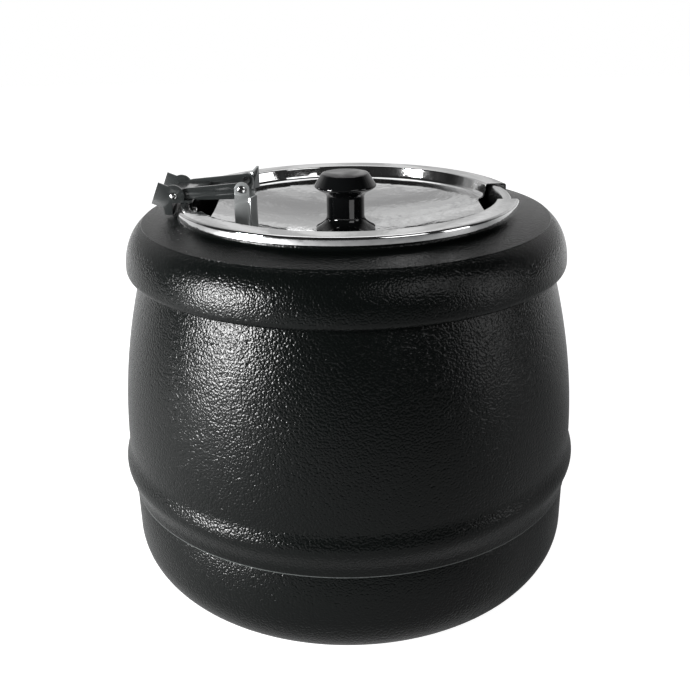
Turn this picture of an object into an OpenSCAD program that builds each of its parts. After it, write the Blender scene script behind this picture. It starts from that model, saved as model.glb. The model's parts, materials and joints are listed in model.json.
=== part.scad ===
// Round soup kettle: a barrel shaped dry-walled warmer with a lift-out pot and a hinged lid.
// Millimetres. Z is up, the origin lies under the middle of the feet, and the controls face +Y.

/* [Barrel] */
// Outside radius of the barrel at its widest, the bead left out
belly_r = 173; // [168:0.5:178]
// How far the edge of the collar stands out from the wall
hem_cover = 9.555; // [8:0.005:12]
// Height of the widest point above the seam
belly_up = 30; // [24:0.5:38]
// Height of the barrel wall from the seam to the collar's lower edge
barrel_h = 165.5; // [155:0.5:180]
// How far the wall runs on under the collar before its upright lip
wall_hidden_h = 18.5; // [12:0.5:20]
// Sheet thickness of the barrel
shell_t = 1.2; // [0.8:0.1:1.6]
// How far the rolled bead stands out
bead_out = 3.4; // [2:0.1:5]
// Height of the rolled bead
bead_h = 30; // [22:1:34]
// Height of the bead's middle above the seam
bead_up = 20; // [17:0.5:26]
// Width of the inward flange that carries the collar
shell_flange_w = 12; // [8:0.5:16]

/* [Base] */
// Height of the base from its flat underside to the seam
base_h = 74; // [66:0.5:84]
// How far the base wall stands back from the barrel at the seam
seam_step = 1; // [0.6:0.1:2]
// Radius of the round lower edge of the base
base_round = 37; // [30:0.5:44]
// Sheet thickness of the base
base_t = 1.2; // [0.8:0.1:1.6]
// Height of the lip that stands up inside the barrel
lip_h = 9; // [6:0.5:14]
// Clearance between the lip and the barrel
lip_gap = 0.2; // [0.1:0.05:0.3]
// Number of vent slots in the underside
vents = 8; // [6:1:12]
// Radius of the circle of vent slots
vent_circle_r = 66; // [56:1:76]
// Length of a vent slot
vent_l = 22; // [16:1:26]
// Width of a vent slot
vent_w = 5; // [4:0.5:6]

/* [Feet] */
// Height of the feet under the base
foot_h = 8; // [6:0.5:12]
// Radius of a foot where it meets the base
foot_r = 13; // [11:0.5:15]
// Radius of the circle of feet
foot_circle_r = 110; // [100:1:118]
// Radius of the foot screws
foot_screw_r = 2; // [1.5:0.1:2.5]

/* [Collar] */
// Outside radius of the collar at its widest
collar_r = 162.2; // [160:0.2:166]
// Height from the collar's lower edge to its widest point
collar_low_h = 5.5; // [4:0.25:8]
// Height from the widest point to the crease
collar_up_h = 29.8; // [26:0.2:34]
// Radius of the crease between the roll and the flat top
crease_r = 148.5; // [147.5:0.25:151]
// Rise of the flat top from the crease to the neck
top_rise = 4.2; // [2:0.2:8]
// Outside radius of the short neck
neck_r = 122; // [121.8:0.1:124]
// Height of the short neck
neck_h = 3.6; // [2:0.1:8]
// Thickness of the collar
collar_t = 1.6; // [1.2:0.1:2.4]
// Width of the collar's turned-in lower hem
hem_w = 1.4; // [1:0.1:1.8]

/* [Water pan] */
// Inside radius of the water pan
pan_r = 118.4; // [117.4:0.1:118.8]
// Sheet thickness of the water pan
pan_t = 0.8; // [0.6:0.1:1.2]
// Width of the flange that rests on the neck
pan_flange_w = 2.4; // [2:0.1:2.6]
// Depth of water under the pot
water_gap = 14; // [10:0.5:18]
// Radius of the round lower edge of the pan
pan_round = 14; // [8:1:20]
// Thickness of the insulating blanket round the pan
blanket_t = 12; // [6:0.5:14]
// Height of the insulating blanket
blanket_h = 150; // [120:1:160]

/* [Pot] */
// Inside radius of the pot
pot_r = 113.5; // [113:0.1:114]
// Sheet thickness of the pot
pot_t = 0.8; // [0.6:0.1:1]
// Depth of the pot from the rim to the underside
pot_h = 240; // [225:1:250]
// Diameter of the rolled rim
rim_d = 3.8; // [3.4:0.1:4.4]
// Radius from the pot's axis to the middle of the rolled rim
rim_r = 118.6; // [118.5:0.1:119]
// Radius of the round lower edge of the pot
pot_round = 16; // [8:1:22]

/* [Lid] */
// Outside radius of the lid
lid_r = 126; // [125:0.1:127]
// Sheet thickness of the lid
lid_t = 0.8; // [0.6:0.1:1]
// Height of the lid's outer skirt
skirt_h = 5.4; // [5:0.1:5.5]
// Radius of the rounded outer edge of the lid
lid_round = 2; // [1.2:0.1:2.6]
// Radius where the flat ring turns down into the dish
ring_in_r = 111; // [109.5:0.25:111.5]
// Radius of the top edge of the dish
dish_r = 108; // [106:0.25:108.5]
// Depth of the dish edge below the ring
dish_edge_h = 9.6; // [7:0.2:12]
// Depth of the dish at its edge, from edge to middle
dish_sag = 17.2; // [12:0.2:22]
// Half the width of the gap in the lid beside the hinge
gap_half_w = 54; // [46:1:60]
// Distance from the middle of the lid to the hinge gap
gap_x = 98; // [97:0.5:101]
// Width of the ladle notch
notch_w = 54; // [44:1:60]
// Distance from the middle of the lid to the ladle notch
notch_x = 101; // [99:0.5:105]
// Corner radius of the gap and the notch
notch_round = 8; // [4:0.5:10]

/* [Lid knob] */
// Height of the knob
knob_h = 42; // [36:0.5:48]
// Radius of the knob's foot
knob_foot_r = 22; // [19:0.5:24]
// Radius of the knob's waist
knob_waist_r = 14; // [11:0.5:16]
// Radius of the knob's top flange
knob_top_r = 22.8; // [20:0.2:25]
// Radius of the knob screw
knob_screw_r = 2.5; // [2:0.1:3]

/* [Hinge] */
// Distance from the middle of the kettle to the hinge pin
pin_x = 123; // [122.6:0.1:123.6]
// Height of the hinge pin above the top of the lid ring
pin_up = 4.2; // [3.8:0.1:4.6]
// Radius of the hinge pin
pin_r = 1.5; // [1.3:0.05:1.6]
// Radius of the yoke's rolled eye
eye_r = 3; // [2.8:0.05:3.1]
// Distance from the middle to the outer face of a yoke arm
arm_y = 17.6; // [15:0.2:19]
// Clearance between a yoke arm and the ear beside it
ear_gap = 0.5; // [0.3:0.1:1]
// Thickness of the hinge sheet
ear_t = 1.8; // [1.4:0.1:2]
// Radius of the ear's nose
ear_nose_r = 7.8; // [7:0.1:8.4]
// How far the ear's tail reaches out behind the pin
ear_tail = 13; // [11:0.2:15]
// Height of the ear's tail
ear_tail_h = 16; // [13:0.25:17]
// Slope of the ear's tail
ear_slope = 22; // [12:1:26]
// How far the middle of the tail lies below the pin
ear_drop = 2.7; // [1.5:0.1:3.5]
// Width of the ear's foot beside the leg
ear_foot_w = 5.6; // [4.6:0.2:7]
// Depth of the bracket's inner tongue below the rim
tongue_h = 20; // [16:0.5:26]

/* [Yoke and lugs] */
// Thickness of the yoke
yoke_t = 1.8; // [1.4:0.1:2.2]
// Height of a yoke arm
arm_h = 8.4; // [6:0.2:9]
// Distance from the middle to the lug rivets, along X
tab_x = 74; // [71:0.5:77]
// Height of the lug rivet above the top of the lid ring
rivet_up = 7.8; // [7:0.1:9]
// Radius of the round top of a lug
lug_r = 5.3; // [4.8:0.1:6]
// Thickness of a lug
lug_t = 1.8; // [1.4:0.1:2.2]
// How far a lug steps out below its rivet
lug_step = 4.9; // [3:0.1:6]
// Length of a lug's foot on the lid
lug_foot_l = 9; // [6:0.5:11]
// Length of a lug's side wing
wing_l = 8.4; // [6:0.2:10]
// Angle of a lug's wing from the lug
wing_turn = 60; // [50:1:70]
// Height of the far lug's tab above its rivet, at the high corner
tab_up = 8.8; // [6:0.2:10]
// Radius of the lug rivets
rivet_r = 1.8; // [1.4:0.1:2]

/* [Heater] */
// Radius of the heater ring
heater_ring_r = 62; // [50:1:75]
// Radius of the heater tube
heater_tube_r = 4; // [3:0.25:5]
// Radius of the heat spreading plate
plate_r = 86; // [82:1:95]
// Thickness of the heat spreading plate
plate_t = 4; // [3:0.25:5]
// Thickness of the clamp plate
clamp_t = 1.5; // [1:0.1:2]
// Radius of the central stud
stud_r = 3; // [2.5:0.25:4]
// Radius of the heat shield
shield_r = 112; // [104:1:118]
// Height of the heat shield's wall
shield_h = 16; // [10:1:20]

/* [Controls] */
// Height of the controls above the underside of the base
control_up = 50; // [47:0.5:54]
// Radius of the round flat recess behind the dial
recess_r = 26; // [24:0.5:28]
// Depth of the recess below the base wall
recess_d = 4; // [3.2:0.1:5]
// Radius of the control dial
dial_r = 19; // [16:0.5:21]
// Length of the control dial
dial_l = 8.4; // [7:0.2:9]
// Radius of the dial shaft
shaft_r = 3; // [2.5:0.1:3.5]
// Width of the thermostat body
stat_w = 34; // [28:1:38]
// Depth of the thermostat body
stat_d = 22; // [18:0.5:24]
// Height of the thermostat body
stat_h = 30; // [24:1:32]
// Turn of the pilot lamp round the base, from the dial
lamp_turn = 17; // [13:0.5:22]
// Radius of the pilot lamp's bezel
lamp_r = 6.5; // [5:0.25:8]
// Turn of the cord bushing round the base, from the dial
cord_turn = 19; // [15:0.5:24]
// Radius of the bore for a cord
cord_bore_r = 3.75; // [3:0.05:4.5]
// Radius of the cord bushing's flange
bushing_r = 10; // [8:0.25:11]

/* [Hidden] */
// the wall curves in from the belly to the collar
wall_curve_r = pow(barrel_h - belly_up, 2) / (2 * (belly_r - collar_r + hem_cover));
$fn = 96;
steps = 12;             // points along a profile curve
seat_gap = 0.3;         // gap between pieces that part from each other
run_gap = 0.05;         // running clearance of a pin
screw_gap = 0.1;        // clearance round a screw or rivet
over = 1;               // how far a cutter runs past a face

base_z = foot_h;
seam_z = base_z + base_h;
collar_z = seam_z + barrel_h;
collar_mid_z = collar_z + collar_low_h;
crease_z = collar_mid_z + collar_up_h;
neck_z = crease_z + top_rise;
neck_top_z = neck_z + neck_h;
pan_top_z = neck_top_z + pan_t;
rim_bottom_z = pan_top_z + seat_gap;
rim_mid_z = rim_bottom_z + rim_d / 2;
rim_top_z = rim_bottom_z + rim_d;
ring_under_z = rim_top_z + seat_gap;
ring_z = ring_under_z + lid_t;
pot_z = rim_top_z - pot_h;
pan_z = pot_z - water_gap - pan_t;
dish_edge_z = ring_z - dish_edge_h;
dish_z = dish_edge_z - dish_sag;
dish_curve = dish_r * dish_r / (2 * dish_sag);
pin_z = ring_z + pin_up;
control_z = base_z + control_up;

belly_z = seam_z + belly_up;
bead_z = seam_z + bead_up;
turn_z = collar_z + wall_hidden_h;

// outside radius of the barrel at a height
function bump(z) = abs(z - bead_z) < bead_h / 2
  ? bead_out * (1 + cos(360 * (z - bead_z) / bead_h)) / 2 : 0;
function wall_r(z) = belly_r - (z - belly_z) * (z - belly_z) / (2 * wall_curve_r) + bump(z);
function arc(cx, cz, rx, rz, a0, a1, n) =
  [for (i = [0 : n]) [cx + rx * cos(a0 + (a1 - a0) * i / n), cz + rz * sin(a0 + (a1 - a0) * i / n)]];
function back(list) = [for (i = [len(list) - 1 : -1 : 0]) list[i]];

module ring_solid(r_in, r_out, z0, z1) {
  rotate_extrude() translate([r_in, z0]) square([r_out - r_in, z1 - z0]);
}

// ---- barrel ----
seam_r = wall_r(seam_z);
turn_r = wall_r(turn_z);
top_angle = atan(top_rise / (crease_r - neck_r));
function top_z(r) = crease_z + (crease_r - r) * tan(top_angle);
function under_z(r) = top_z(r) - collar_t / cos(top_angle);
bead_z0 = bead_z - bead_h / 2;
bead_z1 = bead_z + bead_h / 2;
wall_z = concat([seam_z], [for (i = [0 : 16]) bead_z0 + bead_h * i / 16],
  [for (i = [1 : 14]) bead_z1 + (turn_z - bead_z1) * i / 14]);

module outer_shell() {
  flange_in = turn_r - shell_flange_w;
  color([0.10, 0.11, 0.10]) rotate_extrude() polygon(concat(
    [for (z = wall_z) [wall_r(z), z]],
    [[turn_r, under_z(turn_r)], [flange_in, under_z(flange_in)],
     [flange_in, under_z(flange_in) - shell_t],
     [turn_r - shell_t, under_z(turn_r - shell_t) - shell_t]],
    back([for (z = wall_z) [wall_r(z) - shell_t, z]])));
}

// ---- base ----
base_r = seam_r - seam_step;
lip_r = seam_r - shell_t - lip_gap;
round_z = base_z + base_round;
flat_r = base_r - base_round;
foot_angles = [45, 135, 225, 315];

module around(turn, z) {
  // local +Z points out from the kettle's axis at this turn from +Y
  rotate([0, 0, turn]) translate([0, 0, z]) rotate([-90, 0, 0]) children();
}

recess_y = base_r - recess_d;
module base_shell() {
  rotate_extrude() polygon(concat(
    [[0, base_z]], arc(flat_r, round_z, base_round, base_round, -90, 0, steps),
    [[base_r, seam_z], [lip_r, seam_z], [lip_r, seam_z + lip_h],
     [lip_r - base_t, seam_z + lip_h], [lip_r - base_t, seam_z - base_t],
     [base_r - base_t, seam_z - base_t - (base_r - lip_r)]],
    arc(flat_r, round_z, base_round - base_t, base_round - base_t, 0, -90, steps),
    [[0, base_z + base_t]]));
}
module base_pan() {
  color([0.09, 0.10, 0.09]) difference() {
    union() {
      base_shell();
      // round cup that carries the thermostat
      intersection() {
        around(0, control_z) translate([0, 0, recess_y - base_t]) cylinder(r = recess_r + base_t, h = 3 * recess_d);
        translate([0, 0, base_z]) cylinder(r = base_r, h = seam_z - base_z);
      }
    }

    for (a = foot_angles) rotate([0, 0, a]) translate([foot_circle_r, 0, base_z - over])
      cylinder(r = foot_screw_r + screw_gap, h = base_t + 2 * over);
    around(0, control_z) translate([0, 0, recess_y]) cylinder(r = recess_r, h = 2 * recess_d + over);
    for (i = [0 : vents - 1]) rotate([0, 0, 360 * (i + 0.5) / vents])
      translate([vent_circle_r, 0, base_z - over]) linear_extrude(base_t + 2 * over) {
        square([vent_l - vent_w, vent_w], center = true);
        for (s = [-1, 1]) translate([s * (vent_l - vent_w) / 2, 0]) circle(r = vent_w / 2);
      }
    around(0, control_z) cylinder(r = shaft_r + seat_gap, h = belly_r + over);
    around(lamp_turn, control_z) cylinder(r = lamp_stem_r, h = belly_r + over);
    around(-cord_turn, control_z) cylinder(r = bushing_stem_r, h = belly_r + over);
  }
}

// ---- feet ----
screw_head_r = foot_screw_r * 2;
head_h = foot_screw_r * 1.2;
head_sink = 2.5;
nut_h = foot_screw_r * 1.6;
module foot() {
  color([0.06, 0.06, 0.06]) rotate_extrude() polygon([
    [screw_head_r + seat_gap, 0], [foot_r - 2, 0], [foot_r - 1, 0.8], [foot_r, base_z],
    [foot_screw_r + screw_gap, base_z], [foot_screw_r + screw_gap, head_sink + head_h],
    [screw_head_r + seat_gap, head_sink + head_h]]);
}
module at_foot(i) { rotate([0, 0, foot_angles[i]]) translate([foot_circle_r, 0, 0]) children(); }
module foot_1() { at_foot(0) foot(); }
module foot_2() { at_foot(1) foot(); }
module foot_3() { at_foot(2) foot(); }
module foot_4() { at_foot(3) foot(); }
module foot_screws() {
  color([0.7, 0.7, 0.7]) for (i = [0 : 3]) at_foot(i) {
    rotate_extrude() polygon([[0, head_sink], [screw_head_r - 0.8, head_sink],
      [screw_head_r, head_sink + head_h * 0.6], [screw_head_r, head_sink + head_h],
      [foot_screw_r, head_sink + head_h], [foot_screw_r, base_z + base_t + nut_h + 2],
      [0, base_z + base_t + nut_h + 2]]);
    translate([0, 0, base_z + base_t]) cylinder(r = foot_screw_r * 2, h = nut_h, $fn = 6);
  }
}

// ---- collar ----
// the roll is part of an ellipse that ends at the crease
roll_x = crease_r - (collar_r - crease_r) * 0.62;
roll_a = acos((crease_r - roll_x) / (collar_r - roll_x));
roll_h = collar_up_h / sin(roll_a);
hem_x = collar_r - collar_low_h;
in_r = collar_r - collar_t;
in_a = acos((crease_r - collar_t * 0.6 - roll_x) / (in_r - roll_x));
neck_in_r = pan_r + pan_t + seat_gap;

module collar() {
  color([0.13, 0.14, 0.13]) rotate_extrude() polygon(concat(
    [[hem_x - hem_w, collar_z]],
    arc(hem_x, collar_mid_z, collar_low_h, collar_low_h, -90, 0, 8),
    arc(roll_x, collar_mid_z, collar_r - roll_x, roll_h, roll_a / steps, roll_a, steps - 1),
    [[neck_r + 1.6, top_z(neck_r + 1.6)], [neck_r + 0.5, neck_z + 0.5], [neck_r, neck_z + 1.6],
     [neck_r, neck_top_z], [neck_in_r, neck_top_z], [neck_in_r, under_z(neck_in_r) - 4],
     [neck_in_r + collar_t * 0.6, under_z(neck_in_r) - 4],
     [neck_in_r + collar_t * 0.6, under_z(neck_in_r + collar_t * 0.6)],
     [crease_r - collar_t * 0.6, under_z(crease_r - collar_t * 0.6)]],
    back(arc(roll_x, collar_mid_z, in_r - roll_x,
      (under_z(crease_r - collar_t * 0.6) - collar_mid_z) / sin(in_a), in_a / steps,
      in_a * (steps - 1) / steps, steps - 2)),
    arc(hem_x, collar_mid_z, collar_low_h - collar_t, collar_low_h - collar_t, 0, -90, 8),
    [[hem_x - hem_w, collar_z + collar_t]]));
}

// ---- water pan and blanket ----
pan_out_r = pan_r + pan_t;
module water_pan() {
  rr = pan_round;
  color([0.75, 0.76, 0.77]) difference() {
    rotate_extrude() polygon(concat(
      [[0, pan_z]], arc(pan_out_r - rr, pan_z + rr, rr, rr, -90, 0, 8),
      [[pan_out_r, neck_top_z], [pan_out_r + pan_flange_w, neck_top_z],
       [pan_out_r + pan_flange_w, pan_top_z], [pan_r, pan_top_z]],
      arc(pan_out_r - rr, pan_z + rr, rr - pan_t, rr - pan_t, 0, -90, 8),
      [[0, pan_z + pan_t]]));
  }
}
// sensor bulb, below the blanket
bulb_r = 3;
bulb_l = 36;
bulb_taper = 3;
cap_r = 1;               // radius of its thin tube
tube_bend = 6;
bulb_z = pan_z + pan_round + 4;
blanket_z = bulb_z + bulb_l + bulb_taper + tube_bend + cap_r + 2;
module blanket() {
  color([0.85, 0.82, 0.7]) ring_solid(pan_out_r, pan_out_r + blanket_t, blanket_z, blanket_z + blanket_h);
}

// ---- heater ----
plate_z = pan_z - plate_t;
heater_z = plate_z - heater_tube_r;
clamp_z = heater_z - heater_tube_r - clamp_t;
shield_z = clamp_z - 5;
shield_t = 0.8;
nut2_h = 2.4;
stud_z = shield_z - nut2_h - 1;
lead_a = 24;             // half the open angle of the heater ring
module heat_plate() {
  color([0.8, 0.8, 0.82]) difference() {
    translate([0, 0, plate_z]) cylinder(r = plate_r, h = plate_t);
    translate([0, 0, plate_z - over]) cylinder(r = stud_r + screw_gap, h = plate_t + 2 * over);
  }
}
module heater() {
  lead_l = 24;
  color([0.45, 0.42, 0.4]) {
    rotate([0, 0, 90 + lead_a]) rotate_extrude(angle = 360 - 2 * lead_a)
      translate([heater_ring_r, heater_z]) circle(r = heater_tube_r, $fn = 32);
    for (s = [-1, 1]) rotate([0, 0, 90 + s * lead_a]) translate([heater_ring_r, 0, heater_z])
      rotate([0, 90, 0]) cylinder(r = heater_tube_r, h = lead_l, $fn = 32);
    for (s = [-1, 1]) rotate([0, 0, 90 + s * lead_a]) translate([heater_ring_r, 0, heater_z])
      sphere(r = heater_tube_r, $fn = 32);
    for (s = [-1, 1]) rotate([0, 0, 90 + s * lead_a]) translate([heater_ring_r + lead_l, 0, heater_z])
      rotate([0, 90, 0]) cylinder(r = heater_tube_r * 0.45, h = 8, $fn = 24);
  }
}
module clamp_plate() {
  color([0.6, 0.6, 0.6]) translate([0, 0, clamp_z]) difference() {
    cylinder(r = heater_ring_r + heater_tube_r, h = clamp_t);
    translate([0, 0, -over]) cylinder(r = stud_r + screw_gap, h = clamp_t + 2 * over);
    for (i = [0 : 5]) rotate([0, 0, 60 * i]) translate([heater_ring_r * 0.55, 0, -over])
      cylinder(r = heater_ring_r * 0.17, h = clamp_t + 2 * over);
  }
}
module centre_stud() {
  color([0.65, 0.65, 0.62]) {
    translate([0, 0, stud_z]) cylinder(r = stud_r, h = pan_z - stud_z);
    translate([0, 0, shield_z + shield_t]) cylinder(r = stud_r * 2, h = clamp_z - shield_z - shield_t, $fn = 6);
    translate([0, 0, shield_z - nut2_h]) cylinder(r = stud_r * 2, h = nut2_h, $fn = 6);
  }
}
module heat_shield() {
  color([0.7, 0.7, 0.7]) rotate_extrude() polygon([[stud_r + screw_gap, shield_z],
    [shield_r - 3, shield_z], [shield_r, shield_z + 3], [shield_r, shield_z + shield_h],
    [shield_r - shield_t, shield_z + shield_h], [shield_r - shield_t, shield_z + 3.4],
    [shield_r - 3.4, shield_z + shield_t], [stud_r + screw_gap, shield_z + shield_t]]);
}

// ---- controls ----
wall_in_r = base_r - base_t;
stat_y = recess_y - base_t - 3.4;      // front face of the thermostat
lamp_stem_r = lamp_r * 0.72;
bushing_stem_r = bushing_r * 0.7;
module thermostat() {
  color([0.82, 0.8, 0.72]) difference() {
    union() {
      translate([-stat_w / 2, stat_y - stat_d, control_z - stat_h / 2]) cube([stat_w, stat_d, stat_h]);
      // front plate, flat against the back of the recess
      translate([-stat_w / 2 - 3, recess_y - base_t - 1.6, control_z - 9]) cube([stat_w + 6, 1.6, 18]);
      translate([-9, stat_y - over, control_z - 7]) cube([18, 3.4 + over, 14]);
      for (s = [-1, 1]) translate([s * stat_w / 4 - 3, stat_y - stat_d - 7, control_z - 8]) cube([6, 8, 0.8]);
    }
    translate([0, stat_y - stat_d * 0.7, control_z]) rotate([-90, 0, 0])
      cylinder(r = shaft_r + run_gap, h = stat_d + 20);
  }
}
module sensor_bulb() {
  bulb_y = pan_out_r + bulb_r;
  bend = tube_bend;
  top = bulb_z + bulb_l + bulb_taper;
  stat_top = control_z + stat_h / 2;
  drop_y = stat_y - stat_d / 2;
  color([0.75, 0.5, 0.35]) translate([0, 0, 0]) {
    translate([0, bulb_y, bulb_z]) cylinder(r = bulb_r, h = bulb_l, $fn = 32);
    translate([0, bulb_y, bulb_z + bulb_l - over]) cylinder(r = cap_r, h = top - bulb_z - bulb_l + over, $fn = 24);
    translate([0, bulb_y + bend, top]) rotate([90, 0, 90]) rotate([0, 0, 90])
      rotate_extrude(angle = 90) translate([bend, 0]) circle(r = cap_r, $fn = 24);
    translate([0, bulb_y + bend, top + bend]) rotate([-90, 0, 0])
      cylinder(r = cap_r, h = drop_y - bulb_y - 2 * bend, $fn = 24);
    translate([0, drop_y - bend, top]) rotate([90, 0, 90])
      rotate_extrude(angle = 90) translate([bend, 0]) circle(r = cap_r, $fn = 24);
    translate([0, drop_y, stat_top]) cylinder(r = cap_r, h = top - stat_top, $fn = 24);
  }
}
module cutout() {
  // thermal cut-out clipped to the side of the pan
  color([0.3, 0.3, 0.32]) difference() {
    around(-40, bulb_z + 12) translate([0, 0, pan_out_r - 4]) {
      cylinder(r = 8, h = 10, $fn = 48);
      translate([-12, -4, 0]) cube([24, 8, 6]);
    }
    translate([0, 0, pan_z]) cylinder(r = pan_out_r, h = 100, $fn = 180);
  }
}
block_w = 18;
block_l = 32;
block_h = 16;
block_x = flat_r - block_w / 2 - 1.5;
block_pitch = block_l * 0.3125;
way_r = 2.6;             // screw well
rib_gap = 1.4;           // slot between two ways
module terminal_block() {
  color([0.9, 0.9, 0.86]) rotate([0, 0, 62]) translate([block_x, 0, base_z + base_t]) difference() {
    translate([-block_w / 2, -block_l / 2, 0]) cube([block_w, block_l, block_h]);
    for (i = [-1 : 1]) translate([0, i * block_pitch, block_h / 2]) cylinder(r = way_r, h = block_h, $fn = 32);
    for (i = [-1, 1]) translate([-block_w, (i * block_pitch - rib_gap) / 2, block_h * 0.3125])
      cube([2 * block_w, rib_gap, block_h]);
  }
}
module pilot_lamp() {
  color([0.08, 0.08, 0.08]) difference() {
    union() {
      around(lamp_turn, control_z) translate([0, 0, wall_in_r - 14]) cylinder(r = lamp_stem_r, h = 14 + base_t + over);
      difference() {
        around(lamp_turn, control_z) translate([0, 0, base_r - over]) {
          cylinder(r = lamp_r, h = 1.6 + over);
          cylinder(r1 = lamp_r, r2 = lamp_r - 1, h = 2.6 + over);
        }
        translate([0, 0, control_z - 20]) cylinder(r = base_r, h = 40, $fn = 180);
      }
    }
    around(lamp_turn, control_z) translate([0, 0, wall_in_r - 6]) cylinder(r = lamp_stem_r - 1.2, h = 30);
  }
}
module lamp_lens() {
  lens_r = lamp_stem_r - 1.2;
  color([0.8, 0.25, 0.1]) around(lamp_turn, control_z) translate([0, 0, wall_in_r - 6]) {
    cylinder(r = lens_r, h = 6 + base_t + 2.6);
    translate([0, 0, 6 + base_t + 2.6]) rotate_extrude()
      polygon(concat([[0, 0]], arc(0, 0, lens_r, 1.6, 0, 90, 8)));
  }
}
module cord_bushing() {
  color([0.07, 0.07, 0.07]) difference() {
    union() {
      around(-cord_turn, control_z) translate([0, 0, wall_in_r - 10]) cylinder(r = bushing_stem_r, h = 10 + base_t + over);
      difference() {
        around(-cord_turn, control_z) translate([0, 0, base_r - over]) {
          cylinder(r = bushing_r, h = 2 + over);
          cylinder(r1 = bushing_r - 1, r2 = bushing_r * 0.62, h = 9 + over);
        }
        translate([0, 0, control_z - 20]) cylinder(r = base_r, h = 40, $fn = 180);
      }
    }
    around(-cord_turn, control_z) translate([0, 0, wall_in_r - 20]) cylinder(r = cord_bore_r, h = 60);
  }
}
dial_y = recess_y + 1;                 // back face of the dial
disc_h = 3.6;                          // thickness of the dial's disc
module dial() {
  color([0.05, 0.05, 0.05]) difference() {
    translate([0, dial_y, control_z]) rotate([-90, 0, 0]) {
      rotate_extrude() polygon([[0, 0.8], [dial_r * 0.86, 0.8], [dial_r * 0.86, 0], [dial_r, 0],
        [dial_r, disc_h - 1], [dial_r - 0.8, disc_h], [0, disc_h]]);
      // grip bar with a pointer end
      translate([0, 0, disc_h / 2]) linear_extrude(dial_l - disc_h / 2)
        polygon([[-4, dial_r * 0.72], [-3.4, -dial_r * 0.7], [0, -dial_r * 0.86],
        [3.4, -dial_r * 0.7], [4, dial_r * 0.72]]);
    }
    translate([0, dial_y - over, control_z]) rotate([-90, 0, 0]) cylinder(r = shaft_r, h = dial_l * 0.7 + over);
  }
}
module dial_shaft() {
  color([0.8, 0.8, 0.8]) translate([0, stat_y - stat_d * 0.6, control_z]) rotate([-90, 0, 0])
    cylinder(r = shaft_r, h = dial_y + dial_l * 0.7 - (stat_y - stat_d * 0.6));
}

// ---- pot ----
pot_out_r = pot_r + pot_t;
module inset_pot() {
  rr = pot_round;
  lip_z = rim_top_z - pot_t;
  bend = 2;
  color([0.8, 0.81, 0.82]) difference() {
    union() {
      rotate_extrude() {
        polygon(concat(
          [[0, pot_z]], arc(pot_out_r - rr, pot_z + rr, rr, rr, -90, 0, 8),
          [[pot_out_r, lip_z - bend]],
          arc(pot_out_r + bend, lip_z - bend, bend, bend, 180, 90, 5),
          [[rim_r, lip_z], [rim_r, rim_top_z]],
          arc(pot_out_r + bend, lip_z - bend, bend + pot_t, bend + pot_t, 90, 180, 5),
          arc(pot_out_r - rr, pot_z + rr, rr - pot_t, rr - pot_t, 0, -90, 8),
          [[0, pot_z + pot_t]]));
        translate([rim_r, rim_mid_z]) circle(r = rim_d / 2, $fn = 32);
      }
    }
    for (s = [-1, 1]) tongue_rivet_at(s) cylinder(r = rivet_r + screw_gap, h = 12, center = true);
  }
}

// ---- hinge bracket, on the pot ----
ear_y = arm_y + ear_gap;               // inner face of an ear
ear_out_y = ear_y + ear_t;
leg_x = pin_x + 1.4;                  // inner face of the outer leg
plate_in_x = pot_r - 3.5;
bridge_z = ring_under_z;
bridge_t = 1.6;
tongue_y = 11;
rivet_z = rim_top_z - tongue_h * 0.62;
rivet_turn = 3.3;
module tongue_rivet_at(s) {
  rotate([0, 0, -s * rivet_turn]) translate([-pot_r, 0, rivet_z]) rotate([0, 90, 0]) children();
}
// outline of an ear in X and Z, seen from -Y, with the pin at the origin
module ear_outline() {
  difference() {
    union() {
      circle(r = ear_nose_r);
      rotate(-ear_slope) translate([-ear_tail, -ear_tail_h / 2 - ear_drop]) square([ear_tail, ear_tail_h]);
      // foot that runs down beside the leg
      polygon([[-ear_foot_w - 2.5, -2], [pin_x - leg_x - ear_foot_w, foot_drop], [pin_x - leg_x, foot_drop],
        [pin_x - leg_x, 0]]);
    }
    // step that clears the pot's rim
    translate([-leg_x + pin_x + 0.01, -40]) square([60, 40 + bridge_z - pin_z]);
  }
}
leg_out_x = leg_x + ear_t;
foot_drop = top_z(leg_out_x) + seat_gap + 0.5 - pin_z;
module hinge_bracket() {
  color([0.12, 0.12, 0.12]) difference() {
    union() {
      for (s = [-1, 1]) translate([-pin_x, s * (ear_y + ear_t / 2) + ear_t / 2, pin_z])
        rotate([90, 0, 0]) linear_extrude(ear_t) ear_outline();
      // outer leg, beside the rim
      translate([-leg_out_x, -ear_out_y, pin_z + foot_drop])
        cube([ear_t, 2 * ear_out_y, bridge_z + bridge_t - (pin_z + foot_drop)]);
      // bridge over the rim, under the yoke's eye
      translate([-leg_out_x, -ear_out_y, bridge_z]) cube([leg_out_x - plate_in_x, 2 * ear_out_y, bridge_t]);
      // tongue down the inside of the pot
      intersection() {
        translate([-pot_r, -tongue_y, rim_top_z - tongue_h])
          cube([pot_r - plate_in_x, 2 * tongue_y, tongue_h + seat_gap + bridge_t]);
        translate([0, 0, rim_top_z - tongue_h - over]) difference() {
          cylinder(r = pot_r, h = tongue_h + 10, $fn = 180);
          translate([0, 0, -over]) cylinder(r = pot_r - bridge_t, h = tongue_h + 14, $fn = 180);
        }
      }
    }
    translate([-pin_x, 0, pin_z]) rotate([90, 0, 0]) cylinder(r = pin_r, h = 60, center = true);
    for (s = [-1, 1]) tongue_rivet_at(s) cylinder(r = rivet_r, h = 12, center = true);
  }
}
module bracket_rivets() {
  color([0.7, 0.7, 0.7]) for (s = [-1, 1]) tongue_rivet_at(s) {
    cylinder(r = rivet_r, h = 5, center = true);
    translate([0, 0, bridge_t + 0.05]) rotate_extrude() polygon(concat([[0, 0]], arc(0, 0, rivet_r * 1.8, 1.2, 0, 90, 6)));
    translate([0, 0, -pot_t - 1.1]) cylinder(r = rivet_r * 1.6, h = 1.1);
  }
}
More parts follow.
